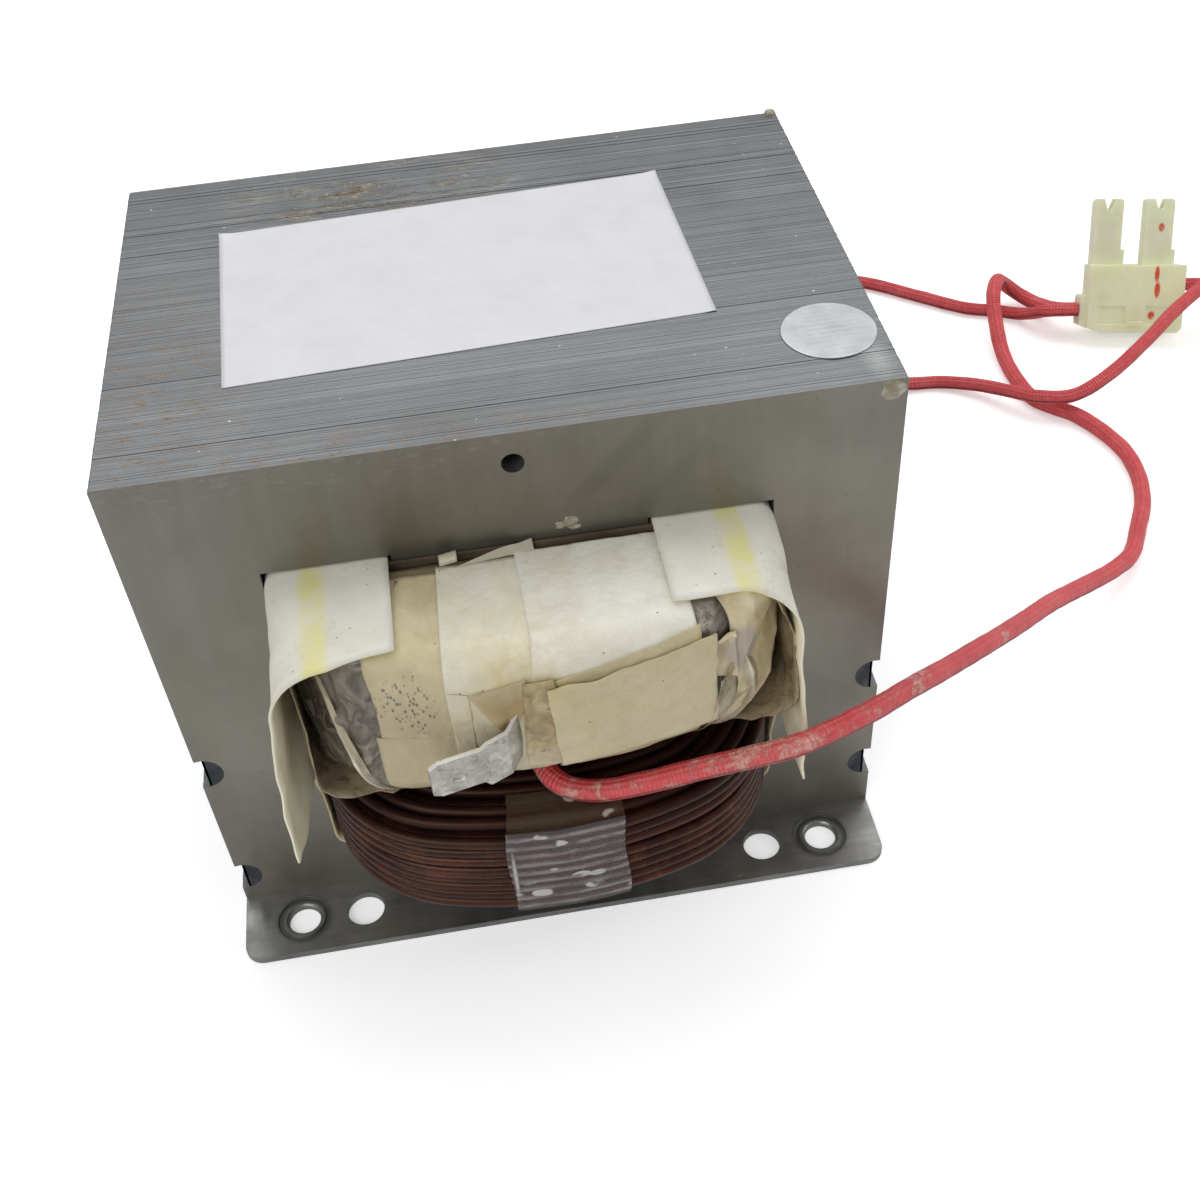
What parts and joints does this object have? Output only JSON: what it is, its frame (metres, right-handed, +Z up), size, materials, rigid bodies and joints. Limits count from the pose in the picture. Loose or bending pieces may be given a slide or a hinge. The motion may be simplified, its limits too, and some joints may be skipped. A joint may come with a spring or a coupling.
{
  "type": "high-voltage transformer",
  "caption": "Laminated iron-core high-voltage transformer on a drilled base plate, with an enamelled copper primary, a paper-wrapped secondary, red leads and a two-tower lead connector.",
  "frame": {"origin": "middle of the underside of the base plate, on the surface the plate stands on", "axes": "+Z up out of the base plate, -Y towards the front end of the coils with the tab, +X towards the side where the leads run"},
  "size_m": [0.2413, 0.1823, 0.0888],
  "materials": {
    "plate_steel": "dark satin sheet steel",
    "core_steel": "varnished lamination steel",
    "weld_steel": "blued weld metal",
    "enamelled_wire": "dark red-brown enamel on copper",
    "fine_wire": "varnished fine enamelled wire",
    "red_sleeve": "matte red silicone braid",
    "nylon": "natural nylon",
    "tinned_brass": "dull tin plate",
    "cream_paper": "varnish-soaked insulating paper",
    "brown_paper": "brown varnish-soaked paper",
    "white_paper": "white insulating paper",
    "clear_film": "clear tape over dark wire",
    "silver_foil": "matte silver foil"
  },
  "bodies": {
    "root": {"base_plate": "plate_steel", "i_laminations": "core_steel", "e_laminations": "core_steel", "upper_weld_left": "weld_steel", "upper_weld_right": "weld_steel", "lower_weld_left": "weld_steel", "lower_weld_right": "weld_steel", "primary_leg_paper": "brown_paper", "primary_winding": "enamelled_wire", "primary_liner_left": "cream_paper", "primary_liner_right": "cream_paper", "primary_tabs": "tinned_brass", "primary_tape": "clear_film", "shunt_left": "core_steel", "shunt_right": "core_steel", "filament_winding": "red_sleeve", "secondary_leg_paper": "brown_paper", "secondary_winding": "fine_wire", "secondary_wrap": "cream_paper", "rear_wrap": "cream_paper", "film_left": "clear_film", "film_right": "clear_film", "stained_pad": "brown_paper", "paper_patch": "cream_paper", "front_tab": "tinned_brass", "brown_paper_left": "brown_paper", "brown_paper_right": "brown_paper", "white_paper_left": "white_paper", "white_paper_right": "white_paper", "hv_lead": "red_sleeve", "filament_lead_a": "red_sleeve", "filament_lead_b": "red_sleeve", "connector_housing": "nylon", "connector_contacts": "tinned_brass", "paper_label": "white_paper", "round_sticker": "silver_foil"}
  },
  "joints": []
}
